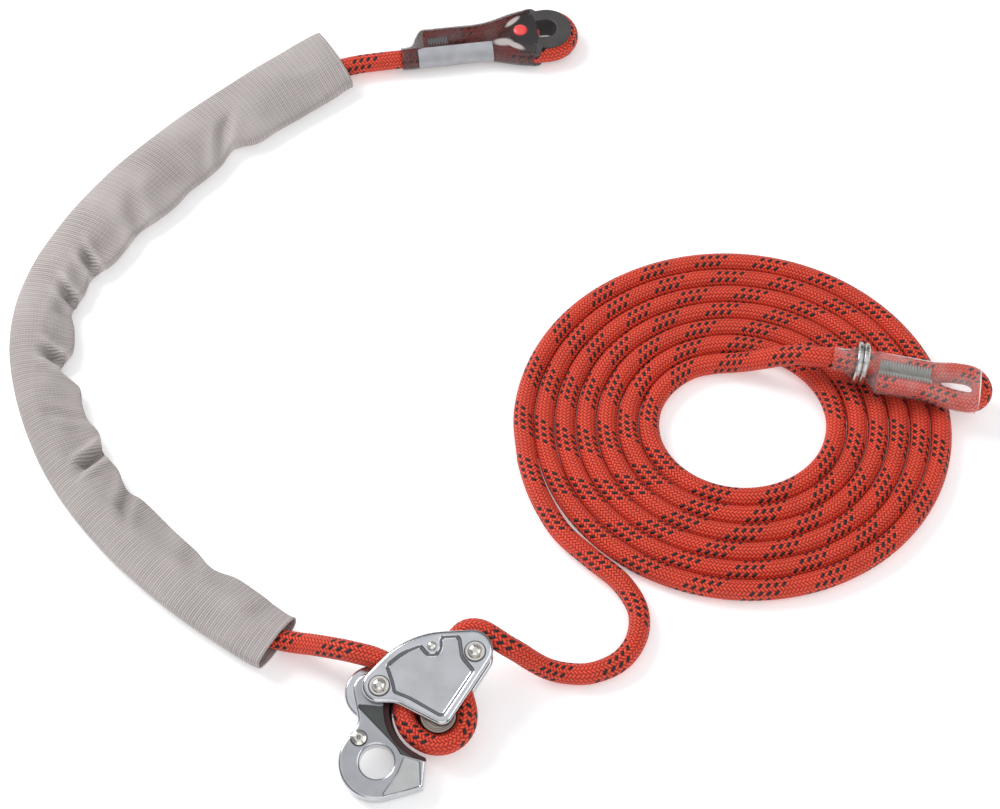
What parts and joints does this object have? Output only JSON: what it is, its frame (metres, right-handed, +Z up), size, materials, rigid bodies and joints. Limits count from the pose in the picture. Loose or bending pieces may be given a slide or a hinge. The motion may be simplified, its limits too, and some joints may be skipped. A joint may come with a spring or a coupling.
{
  "type": "tree climbing lanyard",
  "caption": "Braided rope lanyard with a cam adjuster, a sleeved thimble eye, a sewn end with steel stop rings, a woven protective sleeve and the spare rope coiled.",
  "frame": {"origin": "centre of the bounding box in plan, on the floor that the lanyard lies on, measured without the free rope", "axes": "+Z up from the floor, +X from the adjuster towards the coil, +Y from the adjuster towards the thimble eye"},
  "size_m": [0.5899, 0.575, 0.0388],
  "materials": {
    "plate_aluminium": "polished rim, satin panel",
    "arm_aluminium": "satin forged",
    "stainless": "polished",
    "ring_steel": "brushed",
    "washer_polymer": "matt",
    "rope_red": "braided polyester, dark tracer flecks",
    "thimble_black": "matt moulded",
    "keeper_red": "moulded",
    "smoke_film": "smoky clear film",
    "clear_film": "clear film",
    "label_silver": "plain, blank",
    "thread_grey": "sewn thread",
    "sleeve_grey": "woven"
  },
  "bodies": {
    "lanyard": {"rear_plate": "plate_aluminium", "front_plate": "plate_aluminium", "pivot_rivet": "stainless", "pivot_bush": "stainless", "pivot_seat_ring": "stainless", "arm_washer_rear": "washer_polymer", "arm_washer_front": "washer_polymer", "exit_rivet": "stainless", "exit_spacer": "stainless", "exit_seat_ring": "stainless", "guide_rivet": "stainless", "guide_spacer": "stainless", "bollard": "plate_aluminium", "bollard_screw": "stainless", "rope_upper_run": "rope_red", "rope_device_wrap": "rope_red", "rope_tail_run": "rope_red", "rope_coil": "rope_red", "rope_end_run": "rope_red", "rope_eye": "rope_red", "thimble": "thimble_black", "connector_keeper": "keeper_red", "eye_cover": "smoke_film", "eye_label": "label_silver", "eye_stitching": "thread_grey", "rope_end_eye": "rope_red", "end_cover": "clear_film", "end_stitching": "thread_grey", "protective_sleeve": "sleeve_grey"},
    "arm": {"cam_arm": "arm_aluminium", "arm_rivet": "stainless"},
    "ring_1": {"stop_ring_1": "ring_steel"},
    "ring_2": {"stop_ring_2": "ring_steel"}
  },
  "joints": [
    {"name": "cam_arm_pivot", "type": "hinge", "parent": "lanyard", "child": "arm", "pos_m": [-0.065, -0.22587, 0.02017], "axis": [0, 0.2419, -0.9703], "range_deg": [-3, 25]},
    {"name": "stop_ring_1_slide", "type": "slide", "parent": "lanyard", "child": "ring_1", "axis": [-0.9833, 0.1487, 0.1045], "range_m": [0, 0.01]},
    {"name": "stop_ring_2_slide", "type": "slide", "parent": "lanyard", "child": "ring_2", "axis": [-0.9833, 0.1487, 0.1045], "range_m": [0, 0.01]}
  ],
  "couplings": [
    {"joint": "stop_ring_2_slide", "follows": "stop_ring_1_slide", "ratio": 1}
  ]
}
